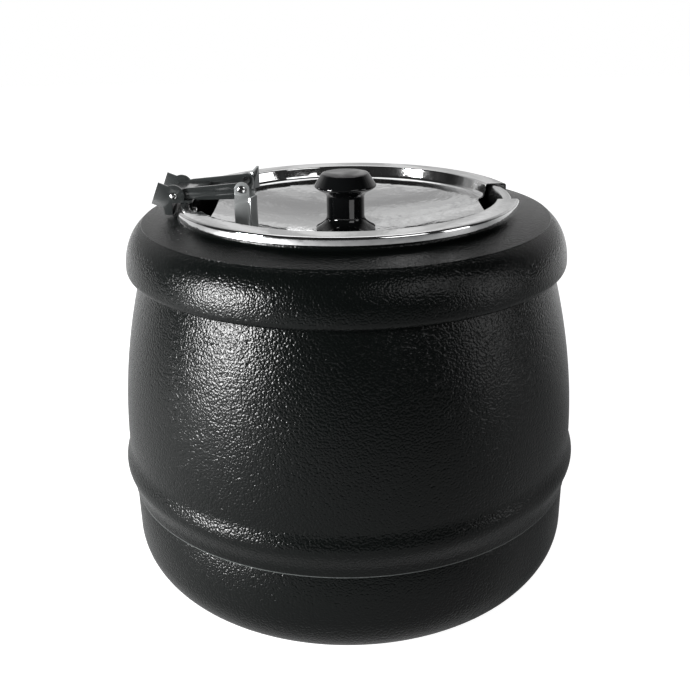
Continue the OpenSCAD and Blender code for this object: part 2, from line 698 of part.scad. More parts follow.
head_r = pin_r * 1.7;
module hinge_pin() {
  half = ear_out_y;
  color([0.75, 0.75, 0.75]) translate([-pin_x, 0, pin_z]) rotate([90, 0, 0]) {
    cylinder(r = pin_r, h = 2 * half, center = true);
    for (s = [0, 1]) mirror([0, 0, s]) translate([0, 0, half]) rotate_extrude()
      polygon(concat([[0, 0]], arc(0, 0, head_r, 1.3, 0, 90, 6)));
  }
}

// ---- yoke and lugs, on the lid ----
rivet2_z = ring_z + rivet_up;
arm_top_z = rivet2_z + 1.4;
arm_low_z = arm_top_z - arm_h;
function dish_top(r) = dish_z + r * r / (2 * dish_curve);
module dish_below(up = 0) {
  // everything under the top face of the dish, for cutting what sits on it
  rotate_extrude() polygon(concat([[0, dish_z - 60]], [[dish_r, dish_z - 60]],
    [for (i = [steps * 2 : -1 : 0]) [dish_r * i / (steps * 2), dish_top(dish_r * i / (steps * 2)) + up]]));
}
// side view of an arm in X and Z
module arm_side() {
  arm_end_r = lug_r - 0.6;
  wide_x = pin_x - 9;
  translate([-pin_x, pin_z]) circle(r = eye_r);
  translate([-tab_x, rivet2_z]) circle(r = arm_end_r);
  polygon([[-pin_x, pin_z + eye_r], [-wide_x, arm_top_z], [-tab_x, rivet2_z + arm_end_r],
    [-tab_x, rivet2_z - arm_end_r], [-tab_x - 5, arm_low_z], [-wide_x + 9, arm_low_z],
    [-wide_x + 4, pin_z - eye_r + 0.5], [-pin_x, pin_z - eye_r]]);
}
module yoke() {
  web_x = pin_x - 10;
  web_l = 12;
  color([0.4, 0.41, 0.41]) difference() {
    union() {
      for (s = [0, 1]) mirror([0, s, 0]) translate([0, arm_y, 0]) rotate([90, 0, 0])
        linear_extrude(yoke_t) arm_side();
      // rolled eye from arm to arm, and the web beside it
      translate([-pin_x, 0, pin_z]) rotate([90, 0, 0]) cylinder(r = eye_r, h = 2 * (arm_y - 1), center = true);
      translate([-pin_x, 1 - arm_y, pin_z + eye_r - yoke_t]) cube([pin_x - web_x + web_l, 2 * (arm_y - 1), yoke_t]);
    }
    translate([-pin_x, 0, pin_z]) rotate([90, 0, 0]) cylinder(r = pin_r + run_gap, h = 80, center = true);
    translate([-tab_x, 0, rivet2_z]) rotate([90, 0, 0]) cylinder(r = rivet_r, h = 80, center = true);
  }
}
// lug, stepped out below its rivet; its inner face lies against the arm's end
step_z = arm_low_z + 3.2;
module lug_body() {
  y0 = arm_y;
  y1 = arm_y + lug_step;
  // strap with its step
  intersection() {
    translate([-tab_x - lug_r, 0, 0]) rotate([90, 0, 90]) linear_extrude(2 * lug_r) polygon([
      [-y0, rivet2_z + lug_r + over], [-y0 - lug_t, rivet2_z + lug_r + over], [-y0 - lug_t, step_z],
      [-y1 - lug_t, step_z - lug_step], [-y1 - lug_t, dish_z], [-y1, dish_z],
      [-y1, step_z - lug_step - lug_t * 0.4], [-y0, step_z - lug_t * 0.4]]);
    translate([-tab_x, 0, 0]) rotate([90, 0, 0]) linear_extrude(80) {
      translate([0, rivet2_z]) circle(r = lug_r);
      translate([-lug_r, dish_z]) square([2 * lug_r, rivet2_z - dish_z]);
    }
  }
  // foot on the lid, behind the strap
  intersection() {
    translate([-tab_x - lug_r, -y1 - lug_t, dish_z]) cube([2 * lug_r, lug_foot_l, 60]);
    dish_below(lug_t);
  }
}
module lug_wing(z_low, z_high, z_top, way) {
  // plate from the edge of the strap, with a sloped top
  translate([-tab_x + lug_r, -arm_y - (way > 0 ? lug_step : lug_t * 0.5), 0]) rotate([0, 0, way * wing_turn])
    translate([-lug_t * 0.6, -lug_t * 0.99, 0]) rotate([90, 0, 0]) mirror([0, 0, 1]) linear_extrude(lug_t)
      polygon([[0, z_low], [wing_l, z_low], [wing_l, z_top], [0, z_high]]);
}
module lug_holes() {
  dish_below();
  translate([-tab_x, 0, rivet2_z]) rotate([90, 0, 0]) cylinder(r = rivet_r, h = 4 * (arm_y + lug_step), center = true);
}
module lug_near() {
  color([0.3, 0.31, 0.31]) difference() {
    union() {
      lug_body();
      lug_wing(dish_z, step_z - 1.4, step_z - 0.6, 1);
    }
    lug_holes();
  }
}
module lug_far() {
  // its wing is a raised tab that stops the lid against the bracket
  color([0.2, 0.21, 0.21]) mirror([0, 1, 0]) difference() {
    union() {
      lug_body();
      lug_wing(arm_low_z, rivet2_z + lug_r, rivet2_z + tab_up, -1);
    }
    lug_holes();
  }
}
module lug_rivets() {
  span = lug_t + yoke_t;
  color([0.8, 0.8, 0.8]) for (s = [0, 1]) mirror([0, s, 0])
    translate([-tab_x, -arm_y - lug_t, rivet2_z]) rotate([90, 0, 0]) {
      mirror([0, 0, 1]) cylinder(r = rivet_r, h = span);
      rotate_extrude() polygon(concat([[0, 0]], arc(0, 0, rivet_r * 1.7, 1.4, 0, 90, 6)));
      mirror([0, 0, 1]) translate([0, 0, span]) cylinder(r = rivet_r * 1.5, h = 1);
    }
}

// ---- lid ----
skirt_z = ring_z - skirt_h;
module lid_cut(x, half_w, way) {
  // rounded cut in from the edge of the lid, along -X or +X
  translate([0, 0, dish_z - 20]) linear_extrude(80) scale([way, 1]) {
    translate([x + notch_round, -half_w]) square([60, 2 * half_w]);
    translate([x, -half_w + notch_round]) square([notch_round + over, 2 * half_w - 2 * notch_round]);
    for (s = [-1, 1]) translate([x + notch_round, s * (half_w - notch_round)]) circle(r = notch_round);
  }
}
module lid() {
  rr = lid_round;
  n = steps * 2;
  color([0.8, 0.81, 0.82]) difference() {
    rotate_extrude() polygon(concat(
      [[lid_r - lid_t, skirt_z], [lid_r, skirt_z]],
      arc(lid_r - rr, ring_z - rr, rr, rr, 0, 90, 5),
      arc(ring_in_r + 0.8, ring_z - 1.6, 1.6, 1.6, 90, 160, 4),
      [for (i = [n : -1 : 0]) [dish_r * i / n, dish_top(dish_r * i / n)]],
      [for (i = [0 : n]) [dish_r * i / n, dish_top(dish_r * i / n) - lid_t]],
      back(arc(ring_in_r + 0.8, ring_z - 1.6, 0.8, 0.8, 90, 160, 4)),
      arc(lid_r - rr, ring_z - rr, rr - lid_t, rr - lid_t, 90, 0, 5)));
    lid_cut(gap_x, gap_half_w, -1);
    lid_cut(notch_x, notch_w / 2, 1);
    translate([0, 0, dish_z - over]) cylinder(r = knob_screw_r + screw_gap, h = 3 * over, center = true);
  }
}

// ---- knob ----
module lid_knob() {
  z0 = dish_z;
  h = knob_h;
  wr = knob_waist_r;
  knob_edge_z = h * 0.75;              // underside of the flange
  knob_flare = h * 0.22;               // height of the foot's flare
  knob_neck = h * 0.17;                // height of the flange's flare
  color([0.04, 0.04, 0.04]) difference() {
    translate([0, 0, z0]) rotate_extrude() polygon(concat(
      [[0, 0], [knob_foot_r - 0.6, 0], [knob_foot_r, 0.8], [knob_foot_r, 2.2]],
      [for (i = [1 : 8]) [wr + (knob_foot_r - wr) * pow(1 - i / 8, 2.2), 2.2 + knob_flare * i / 8]],
      [for (i = [0 : 7]) [wr + (knob_top_r - wr) * pow(i / 8, 2), knob_edge_z - knob_neck * (1 - i / 8)]],
      arc(knob_top_r - 1.6, knob_edge_z + 1.4, 1.6, 1.4, -30, 50, 5),
      [[knob_top_r - 5.4, h - 0.7], [knob_top_r - 6.6, h], [0, h]]));
    dish_below();
    translate([0, 0, z0 - over]) cylinder(r = knob_screw_r, h = h * 0.5 + over);
  }
}
module knob_washer() {
  wz = dish_z - lid_t;
  color([0.75, 0.75, 0.75]) difference() {
    translate([0, 0, wz - 1.2]) cylinder(r = knob_screw_r * 3, h = 1.2);
    translate([0, 0, wz - 2]) cylinder(r = knob_screw_r + screw_gap, h = 4);
  }
}
module knob_screw() {
  wz = dish_z - lid_t - 1.2;
  color([0.75, 0.75, 0.75]) {
    translate([0, 0, wz]) cylinder(r = knob_screw_r, h = knob_h * 0.4);
    translate([0, 0, wz]) mirror([0, 0, 1]) rotate_extrude()
      polygon(concat([[0, 0]], arc(0, 0, knob_screw_r * 1.9, 2.4, 0, 90, 6)));
  }
}

outer_shell();
base_pan();
collar();
water_pan();
blanket();
heat_plate();
heater();
clamp_plate();
centre_stud();
heat_shield();
thermostat();
sensor_bulb();
cutout();
terminal_block();
pilot_lamp();
lamp_lens();
cord_bushing();
foot_1();
foot_2();
foot_3();
foot_4();
foot_screws();
inset_pot();
hinge_bracket();
bracket_rivets();
hinge_pin();
yoke();
lug_near();
lug_far();
lug_rivets();
lid();
lid_knob();
knob_washer();
knob_screw();
dial();
dial_shaft();
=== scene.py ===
import json
import math

import bmesh
import bpy
from mathutils import Matrix, Vector


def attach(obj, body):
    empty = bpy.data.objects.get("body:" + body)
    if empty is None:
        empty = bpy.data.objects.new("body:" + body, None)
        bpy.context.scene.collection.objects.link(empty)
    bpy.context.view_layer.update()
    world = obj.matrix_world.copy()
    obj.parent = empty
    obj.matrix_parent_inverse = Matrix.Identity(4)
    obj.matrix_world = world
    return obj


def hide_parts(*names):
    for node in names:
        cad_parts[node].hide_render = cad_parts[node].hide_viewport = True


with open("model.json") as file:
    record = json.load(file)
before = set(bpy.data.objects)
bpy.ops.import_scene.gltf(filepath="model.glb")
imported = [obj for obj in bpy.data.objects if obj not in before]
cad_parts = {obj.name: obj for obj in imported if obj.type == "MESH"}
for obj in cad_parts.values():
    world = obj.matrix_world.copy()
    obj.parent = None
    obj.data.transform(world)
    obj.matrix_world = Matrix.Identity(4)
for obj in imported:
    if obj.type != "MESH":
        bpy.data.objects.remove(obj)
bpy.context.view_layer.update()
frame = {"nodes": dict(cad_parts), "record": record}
NODES = frame["nodes"]
SLOTS = {part["node"]: part["material_slot"] for part in frame["record"]["subparts"]}
BODIES = frame["record"]["behaviour"]["bodies"]
SCENE = bpy.context.scene
MM = 0.001


# ------------------------------------------------------------------ node helpers
class Graph:
    """Short calls that add nodes to one node tree."""

    def __init__(self, tree):
        self.tree = tree

    def feed(self, socket, value):
        """Links a socket to an output, or sets it to a plain value."""
        if isinstance(value, bpy.types.NodeSocket):
            self.tree.links.new(value, socket)
        else:
            socket.default_value = value

    def node(self, kind, **sockets):
        made = self.tree.nodes.new(kind)
        for key, value in sockets.items():
            self.feed(made.inputs[key.replace("_", " ")], value)
        return made

    def math(self, operation, a, b):
        made = self.tree.nodes.new("ShaderNodeMath")
        made.operation = operation
        self.feed(made.inputs[0], a)
        self.feed(made.inputs[1], b)
        return made.outputs[0]

    def mix(self, factor, a, b):
        """Mixes two colours, each an output or three numbers."""
        made = self.tree.nodes.new("ShaderNodeMix")
        made.data_type = "RGBA"
        self.feed(made.inputs[0], factor)
        for socket, colour in ((made.inputs[6], a), (made.inputs[7], b)):
            self.feed(socket, (*colour, 1) if isinstance(colour, tuple) else colour)
        return made.outputs[2]

    def maprange(self, value, low, high, to_low, to_high, smooth=False):
        made = self.node("ShaderNodeMapRange", Value=value, From_Min=low, From_Max=high,
                         To_Min=to_low, To_Max=to_high)
        if smooth:
            made.interpolation_type = "SMOOTHSTEP"
        return made.outputs["Result"]

    def ramp(self, factor, stops, interpolation="LINEAR"):
        """Turns a factor into grey, by stops of (place, grey)."""
        made = self.tree.nodes.new("ShaderNodeValToRGB")
        self.feed(made.inputs[0], factor)
        made.color_ramp.interpolation = interpolation
        elements = made.color_ramp.elements
        while len(elements) < len(stops):
            elements.new(0.5)
        for element, (at, grey) in zip(elements, stops):
            element.position = at
            element.color = (grey, grey, grey, 1)
        return made.outputs["Color"]

    def separate(self, vector):
        return self.node("ShaderNodeSeparateXYZ", Vector=vector).outputs


class Material(Graph):
    """One node material, placed by the object's own coordinates."""

    def __init__(self, name):
        self.data = bpy.data.materials.new(name)
        self.data.use_nodes = True
        super().__init__(self.data.node_tree)
        self.shader = self.tree.nodes["Principled BSDF"]
        self.place = self.node("ShaderNodeTexCoord").outputs["Object"]

    def set(self, **sockets):
        for key, value in sockets.items():
            self.feed(self.shader.inputs[key.replace("_", " ")], value)

    def noise(self, scale, detail, rough=0.5, bend=0.0, vector=None):
        return self.node("ShaderNodeTexNoise", Vector=vector or self.place, Scale=scale, Detail=detail,
                         Roughness=rough, Distortion=bend).outputs["Fac"]

    def voronoi(self, scale):
        made = self.tree.nodes.new("ShaderNodeTexVoronoi")
        made.feature = "SMOOTH_F1"
        self.feed(made.inputs["Vector"], self.place)
        made.inputs["Scale"].default_value = scale
        made.inputs["Randomness"].default_value = 1.0
        return made.outputs["Distance"]

    def bump(self, height, depth):
        """Bump whose full height is depth metres."""
        return self.node("ShaderNodeBump", Height=height, Strength=1.0, Distance=depth).outputs["Normal"]


# ------------------------------------------------------------------ materials
COAT_DARK = (0.0013, 0.0018, 0.0017)
COAT_PALE = (0.0023, 0.0030, 0.0028)
# painted highlight: the lighter colour of the barrel's rolled lower edge, standing in for the light it
# catches
COAT_EDGE_HIGHLIGHT = (0.085, 0.092, 0.090)
COAT_GLOSS = 0.19
PEBBLE_DEPTH = 0.00021
PEBBLE_SHARE = 2.2
GRAIN_SHARE = 0.4


def wrinkle(name, height=1.0, pebble=740, highlight_band=None):
    """Black wrinkle coat of small glossy pebbles. Below the two heights passed in, if any, it is painted
    lighter: a painted highlight standing in for light caught by an edge.
    """
    coat = Material(name)
    cell = coat.voronoi(pebble)
    dome = coat.math("MULTIPLY", coat.math("MULTIPLY", cell, cell), -PEBBLE_SHARE)
    grain = coat.noise(1150, 2.0, 0.6, bend=0.5)
    tall = coat.math("ADD", dome, coat.math("MULTIPLY", grain, GRAIN_SHARE))
    colour = coat.mix(coat.noise(14, 2.0), COAT_DARK, COAT_PALE)
    # painted highlight: the coat turns lighter below these heights
    if highlight_band:
        edge = coat.maprange(coat.separate(coat.place)["Z"], *highlight_band, 1.0, 0.0)
        colour = coat.mix(edge, colour, COAT_EDGE_HIGHLIGHT)
    coat.set(Base_Color=colour, Roughness=coat.maprange(grain, 0.3, 0.7, 0.17, 0.25),
             Specular_IOR_Level=COAT_GLOSS, Normal=coat.bump(tall, PEBBLE_DEPTH * height))
    return coat.data


def steel(name, base, rough, streak, scale=(40, 40, 900)):
    """Bare metal. Its grain is stretched by scale, and streak is how deep the grain is, in metres."""
    metal = Material(name)
    stretched = metal.node("ShaderNodeMapping", Vector=metal.place, Scale=scale).outputs[0]
    grain = metal.noise(1.0, 3.0, 0.6, vector=stretched)
    dull = (base, base * 1.005, base * 1.01)
    pale = (base * 1.12, base * 1.12, base * 1.12)
    metal.set(Base_Color=metal.mix(metal.noise(22, 2.0), dull, pale), Metallic=1.0,
              Roughness=metal.maprange(grain, 0.3, 0.7, rough * 0.75, rough * 1.3))
    if streak:
        metal.set(Normal=metal.bump(grain, streak))
    return metal.data


def plain(name, colour, rough, spec=0.5, grain=500, depth=0.00004, vary=0.25, metallic=0.0, coat=0.0):
    """Moulded, painted or fibrous stuff, a little uneven in colour and gloss."""
    stuff = Material(name)
    fine = stuff.noise(grain, 3.0)
    broad = stuff.noise(30, 3.0)
    pale = tuple(min(1, v * (1 + vary)) for v in colour)
    stuff.set(Base_Color=stuff.mix(broad, colour, pale),
              Roughness=stuff.maprange(broad, 0.3, 0.7, rough * 0.85, rough * 1.15),
              Specular_IOR_Level=spec, Metallic=metallic, Coat_Weight=coat, Coat_Roughness=0.08,
              Normal=stuff.bump(fine, depth))
    return stuff.data


FINISH = {
    "wrinkle_black": wrinkle("coat_body"),
    "collar_black": wrinkle("coat_collar", 0.85, 860),
    "stainless": steel("pot_steel", 0.60, 0.16, 0.000004),
    "mirror_lid": steel("lid_steel", 0.66, 0.07, 0.0003, (45, 45, 45)),
    "glass_fibre": plain("fibre", (0.62, 0.56, 0.40), 0.9, 0.2, 900, 0.0006),
    "spread_plate": steel("plate_alloy", 0.7, 0.35, 0.00001, (500, 500, 60)),
    "heater_sheath": steel("sheath", 0.25, 0.35, 0.00001, (200, 200, 200)),
    "zinc_steel": steel("zinc", 0.55, 0.3, 0.00001, (150, 150, 150)),
    "pale_moulding": plain("pale_mould", (0.62, 0.58, 0.48), 0.5),
    "dark_moulding": plain("dark_mould", (0.012, 0.012, 0.012), 0.42, 0.5, 700, 0.00005),
    "copper_bulb": steel("copper", 0.5, 0.25, 0.0, (150, 150, 150)),
    "amber_lens": plain("lens", (0.55, 0.10, 0.02), 0.12, 0.5, 200, 0.00001, 0.1, coat=0.6),
    "foot_rubber": plain("rubber", (0.010, 0.010, 0.010), 0.7, 0.35, 900, 0.00008),
    "hinge_black": plain("hinge_coat", (0.016, 0.018, 0.018), 0.26, 0.7, 900, 0.00003, coat=1.0),
    "lug_grey": plain("lug_metal", (0.30, 0.31, 0.31), 0.30, 0.5, 800, 0.00002, 0.3, metallic=0.6),
    "bright_steel": steel("bright", 0.68, 0.14, 0.0, (90, 90, 90)),
    "gloss_knob": plain("knob_gloss", (0.0022, 0.0024, 0.0026), 0.07, 0.45, 120, 0.00001, 0.2),
}

for name, node in NODES.items():
    for place in node.material_slots:
        place.material = FINISH[SLOTS[name]]
    if not node.material_slots:
        node.data.materials.append(FINISH[SLOTS[name]])


# ------------------------------------------------------------------ mesh tools
def place_mesh(name, mesh):
    piece = bpy.data.objects.new(name, mesh)
    SCENE.collection.objects.link(piece)
    return piece


def mesh_from(bm, name):
    mesh = bpy.data.meshes.new(name)
    bm.to_mesh(mesh)
    bm.free()
    return mesh


def shade(piece, angle):
    """Smooth faces, with a hard edge wherever two faces meet at more than the angle."""
    for face in piece.data.polygons:
        face.use_smooth = True
    bm = bmesh.new()
    bm.from_mesh(piece.data)
    limit = math.radians(angle)
    for edge in bm.edges:
        edge.smooth = len(edge.link_faces) == 2 and edge.calc_face_angle(0.0) < limit
    bm.to_mesh(piece.data)
    bm.free()


def link(mesh, name, slot, body, smooth=35):
    """Makes a piece of a mesh, in the finish of a slot, that rides on a body."""
    piece = place_mesh(name, mesh)
    mesh.materials.append(FINISH[slot])
    shade(piece, smooth)
    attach(piece, body)
    return piece


def arc(x, y, radius_x, radius_y, start, end, steps):
    """Points along an arc round (x, y), from one angle in degrees to another."""
    angles = [math.radians(start + (end - start) * i / steps) for i in range(steps + 1)]
    return [(x + radius_x * math.cos(a), y + radius_y * math.sin(a)) for a in angles]


def lathe(profile, segments=256):
    """Turns a closed profile of (radius, height) in millimetres into a mesh in metres."""
    bm = bmesh.new()
    turns = [2 * math.pi * i / segments for i in range(segments)]
    rings = []
    for r, z in profile:
        angles = turns if r > 1e-6 else turns[:1]
        rings.append([bm.verts.new((r * MM * math.cos(a), r * MM * math.sin(a), z * MM)) for a in angles])
    pairs = list(zip(rings, rings[1:]))
    if len(rings[0]) > 1 or len(rings[-1]) > 1:
        pairs.append((rings[-1], rings[0]))
    for a, b in pairs:
        if len(a) == 1 and len(b) == 1:
            continue
        for i in range(segments):
            j = (i + 1) % segments
            if len(a) == 1:
                bm.faces.new((a[0], b[j], b[i]))
            elif len(b) == 1:
                bm.faces.new((a[i], a[j], b[0]))
            else:
                bm.faces.new((a[i], a[j], b[j], b[i]))
    bmesh.ops.recalc_face_normals(bm, faces=bm.faces)
    return mesh_from(bm, "lathe")


def prism(outline, low, high):
    """Upright cutter on an outline of (x, y), between two heights, all in millimetres."""
    bm = bmesh.new()
    lower = [bm.verts.new((x * MM, y * MM, low * MM)) for x, y in outline]
    upper = [bm.verts.new((x * MM, y * MM, high * MM)) for x, y in outline]
    bm.faces.new(lower)
    bm.faces.new(upper)
    for i in range(len(lower)):
        j = (i + 1) % len(lower)
        bm.faces.new((lower[i], lower[j], upper[j], upper[i]))
    bmesh.ops.recalc_face_normals(bm, faces=bm.faces)
    return place_mesh("cutter", mesh_from(bm, "prism"))


def rod(radius, start, end, segments=48):
    """Round cutter from one point to another, in millimetres."""
    start, end = Vector(start) * MM, Vector(end) * MM
    bm = bmesh.new()
    bmesh.ops.create_cone(bm, cap_ends=True, segments=segments, radius1=radius * MM,
                          radius2=radius * MM, depth=(end - start).length)
    turn = (end - start).to_track_quat("Z", "Y").to_matrix().to_4x4()
    bmesh.ops.transform(bm, matrix=Matrix.Translation((start + end) / 2) @ turn, verts=bm.verts)
    return place_mesh("cutter", mesh_from(bm, "rod"))


def applied(piece):
    """The mesh of a piece with its modifiers applied."""
    deps = bpy.context.evaluated_depsgraph_get()
    return bpy.data.meshes.new_from_object(piece.evaluated_get(deps))


def cut(piece, cutters, mode="DIFFERENCE"):
    """Works each cutter into the piece by one boolean, and removes the cutter."""
    for cutter in cutters:
        boolean = piece.modifiers.new("cut", "BOOLEAN")
        boolean.operation = mode
        boolean.solver = "EXACT"
        boolean.object = cutter
        result = applied(piece)
        piece.modifiers.clear()
        before = piece.data
        piece.data = result
        bpy.data.meshes.remove(before)
        bpy.data.objects.remove(cutter)


def bevelled(node, name, width):
    """A copy of a CAD node with its hard edges rounded off; it stands for the node."""
    mesh = NODES[node].data.copy()
    piece = place_mesh(name, mesh)
    bm = bmesh.new()
    bm.from_mesh(mesh)
    bmesh.ops.remove_doubles(bm, verts=bm.verts, dist=2e-6)
    bmesh.ops.dissolve_limit(bm, angle_limit=math.radians(0.6), verts=bm.verts, edges=bm.edges)
    bm.to_mesh(mesh)
    bm.free()
    bevel = piece.modifiers.new("bevel", "BEVEL")
    bevel.width = width * MM
    bevel.segments = 2
    bevel.limit_method = "ANGLE"
    bevel.angle_limit = math.radians(28)
    result = applied(piece)
    piece.modifiers.clear()
    piece.data = result
    piece.data.materials.clear()
    piece.data.materials.append(FINISH[SLOTS[node]])
    shade(piece, 32)
    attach(piece, next(body for body, nodes in BODIES.items() if node in nodes))
    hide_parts(node)


# ------------------------------------------------------------------ driving sizes, mm
# base and barrel wall
BASE_Z = 8
BASE_H = 74
BARREL_H = 165.5
BELLY_R = 173
BELLY_UP = 30
CURVE_R = 451
BEAD_UP = 20
BEAD_W = 30
BEAD_H = 3.4
SHEET_T = 1.2
CORNER_R = 37
EDGE_R = 0.6
TUCK = 18.5
WALL_STEPS = 120
# heights over the seam of the painted highlight on the barrel's rolled lower edge
HIGHLIGHT_FROM, HIGHLIGHT_TO = 0.5, 1.3
SEAM_Z = BASE_Z + BASE_H
COLLAR_Z = SEAM_Z + BARREL_H

# controls at the back: height, and (degrees round from the back, radius) of each hole
CONTROL_Z = 58
CUP_R = 26
CUP_D = 4
CONTROL_HOLES = {"shaft": (0, 3.3), "lamp": (17, 6.5 * 0.72), "cord": (-19, 7.0)}
VENTS = 8
VENT_W = 5
VENT_L = 22
VENT_REACH = 66
VENT_DEPTH = 6
HOLE_FROM, HOLE_TO = 150, 180

# collar
COLLAR_R = 162.2
CREASE_R = 148.5
NECK_R = 122
NECK_IN_R = 119.5
HEM_R = 5.5
HEM_T = 1.4
ROLL_UP = 29.8
ROLL_SHARE = 0.62
TOP_RISE = 3.8
MID_Z = COLLAR_Z + HEM_R
CREASE_Z = MID_Z + ROLL_UP
NECK_Z = CREASE_Z + 4.2
NECK_TOP = NECK_Z + 3.6

# pot
POT_R = 113.5
POT_T = 0.8
POT_H = 240
POT_CORNER = 16
RIM_R = 118.6
RIM_D = 3.8
RIM_BEND = 2
GAP = 0.3
POT_OUT = POT_R + POT_T
RIM_TOP = NECK_TOP + POT_T + GAP + RIM_D
POT_Z = RIM_TOP - POT_H

# lid; each gap in its edge is (distance from the middle, half its width)
LID_R = 126
LID_T = 0.8
SKIRT_H = 5.4
SKIRT_BEND = 2
RING_R = 118
RING_IN = 111.8
RING_BEND = 1.6
DISH_R = 108
DISH_DROP = 9.6
DISH_SAG = 17.2
DISH_STEPS = 48
HINGE_GAP = (98, 54)
LADLE_NOTCH = (101, 27)
NOTCH_ROUND = 8
PAST_EDGE = 60
SCREW_R = 2.6
RING_Z = RIM_TOP + GAP + LID_T
DISH_EDGE = RING_Z - DISH_DROP
DISH_Z = DISH_EDGE - DISH_SAG

# knob
KNOB_H = 42
KNOB_WAIST_R = 14
KNOB_FOOT_R = 22
KNOB_TOP_R = 22.8
# shares of the knob's height: its widest edge, the flare of its foot and the neck under its top
KNOB_EDGE = 0.75
KNOB_FLARE = 0.22
KNOB_NECK = 0.17


# ------------------------------------------------------------------ pieces
def wall_r(z):
    """Radius of the barrel's outside at a height, with its pressed bead."""
    off = z - SEAM_Z - BEAD_UP
    bead = BEAD_H * (1 + math.cos(2 * math.pi * off / BEAD_W)) / 2 if abs(off) < BEAD_W / 2 else 0
    return BELLY_R - (z - SEAM_Z - BELLY_UP) ** 2 / (2 * CURVE_R) + bead


def dish(r):
    """Height of the lid's dish at a radius."""
    return DISH_Z + DISH_SAG * (r / DISH_R) ** 2


def barrel():
    """Barrel wall, with a small rolled lower edge over the base, painted lighter there as a painted
    highlight.
    """
    start = SEAM_Z + 1.5 * EDGE_R
    rise = COLLAR_Z + TUCK - start
    heights = [start + rise * i / WALL_STEPS for i in range(WALL_STEPS + 1)]
    profile = arc(wall_r(SEAM_Z) - EDGE_R, SEAM_Z + EDGE_R, EDGE_R, EDGE_R, -180, -20, 6)
    profile += [(wall_r(z), z) for z in heights]
    profile += [(wall_r(z) - SHEET_T, z) for z in reversed(heights)]
    piece = link(lathe(profile), "barrel_skin", "wrinkle_black", "kettle")
    # the rolled lower edge is painted lighter: a painted highlight
    highlight_band = ((SEAM_Z + HIGHLIGHT_FROM) * MM, (SEAM_Z + HIGHLIGHT_TO) * MM)
    piece.data.materials[0] = wrinkle("coat_barrel", highlight_band=highlight_band)
    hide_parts("outer_shell")


def collar():
    """Low hem, broad roll, crease, sloping top and short neck."""
    roll_x = CREASE_R - (COLLAR_R - CREASE_R) * ROLL_SHARE
    roll_angle = math.degrees(math.acos((CREASE_R - roll_x) / (COLLAR_R - roll_x)))
    roll_h = ROLL_UP / math.sin(math.radians(roll_angle))
    hem_x = COLLAR_R - HEM_R
    top_run = CREASE_R - NECK_R - 2
    # the outside, from the hem up to the neck
    profile = [(hem_x - HEM_T, COLLAR_Z)] + arc(hem_x, MID_Z, HEM_R, HEM_R, -90, 0, 14)
    profile += arc(roll_x, MID_Z, COLLAR_R - roll_x, roll_h, 0, roll_angle, 48)[1:-1]
    profile += [(CREASE_R + 0.3, CREASE_Z + 0.15), (CREASE_R - 0.8, CREASE_Z + 0.25)]
    profile += [(CREASE_R - top_run * i / 6, CREASE_Z + 0.3 + TOP_RISE * i / 6) for i in range(1, 7)]
    profile += [(NECK_R + 0.9, NECK_Z + 0.4), (NECK_R + 0.3, NECK_Z + 1.1), (NECK_R, NECK_Z + 1.9)]
    profile += [(NECK_R, NECK_TOP), (NECK_IN_R, NECK_TOP)]
    # the inside, back down to the hem
    profile += [(NECK_IN_R, NECK_Z - 4.5), (NECK_R, NECK_Z - 3), (CREASE_R - 2, CREASE_Z - 1.8)]
    profile += [(COLLAR_R - 5, MID_Z + 14), (COLLAR_R - 1.6, MID_Z), (hem_x - HEM_T, COLLAR_Z + 1.6)]
    piece = link(lathe(profile), "collar_skin", "collar_black", "kettle")
    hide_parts("collar")


def vent(turn):
    """Cutter for one round-ended vent slot in the base, at an angle round its middle."""
    half = (VENT_L - VENT_W) / 2
    outline = arc(half, 0, VENT_W / 2, VENT_W / 2, -90, 90, 12)
    outline += arc(-half, 0, VENT_W / 2, VENT_W / 2, 90, 270, 12)
    c, s = math.cos(turn), math.sin(turn)
    turned = [((VENT_REACH + x) * c - y * s, (VENT_REACH + x) * s + y * c) for x, y in outline]
    return prism(turned, BASE_Z - VENT_DEPTH / 2, BASE_Z + VENT_DEPTH / 2)


def control_hole(degrees, radius):
    """Cutter for one hole through the base wall, at an angle round from the back."""
    x, y = -math.sin(math.radians(degrees)), math.cos(math.radians(degrees))
    return rod(radius, (x * HOLE_FROM, y * HOLE_FROM, CONTROL_Z), (x * HOLE_TO, y * HOLE_TO, CONTROL_Z))


def base():
    """Drawn base with vents, holes and the round cup that the dial sits in."""
    base_r = wall_r(SEAM_Z) - 1
    flat_r = base_r - CORNER_R
    corner_z = BASE_Z + CORNER_R
    inner_r = CORNER_R - SHEET_T
    outside = [(0, BASE_Z)] + arc(flat_r, corner_z, CORNER_R, CORNER_R, -90, 0, 40)
    outside += [(base_r, SEAM_Z - 1.2)]
    # the upper edge steps in and goes up inside the barrel wall
    step = [(base_r - 0.6, SEAM_Z - 0.2), (base_r - 1.4, SEAM_Z - 0.2), (base_r - 1.4, SEAM_Z + 8)]
    step += [(base_r - 2.6, SEAM_Z + 8), (base_r - 2.6, SEAM_Z - 3)]
    inside = arc(flat_r, corner_z, inner_r, inner_r, 0, -90, 24) + [(0, BASE_Z + SHEET_T)]
    piece = link(lathe(outside + step + inside), "base_skin", "wrinkle_black", "kettle")

    cutters = [vent(2 * math.pi * (i + 0.5) / VENTS) for i in range(VENTS)]
    cutters += [control_hole(*hole) for hole in CONTROL_HOLES.values()]
    cup_y = base_r - CUP_D
    whole = place_mesh("cutter", lathe(outside + [(0, SEAM_Z - 1.2)]))
    cup = rod(CUP_R + SHEET_T, (0, cup_y - SHEET_T, CONTROL_Z), (0, base_r + 12, CONTROL_Z), 96)
    cut(cup, [whole], "INTERSECT")
    cut(piece, [cup], "UNION")
    cutters += [rod(CUP_R, (0, cup_y, CONTROL_Z), (0, base_r + 20, CONTROL_Z), 96)]
    cut(piece, cutters)
    shade(piece, 35)
    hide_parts("base_pan")


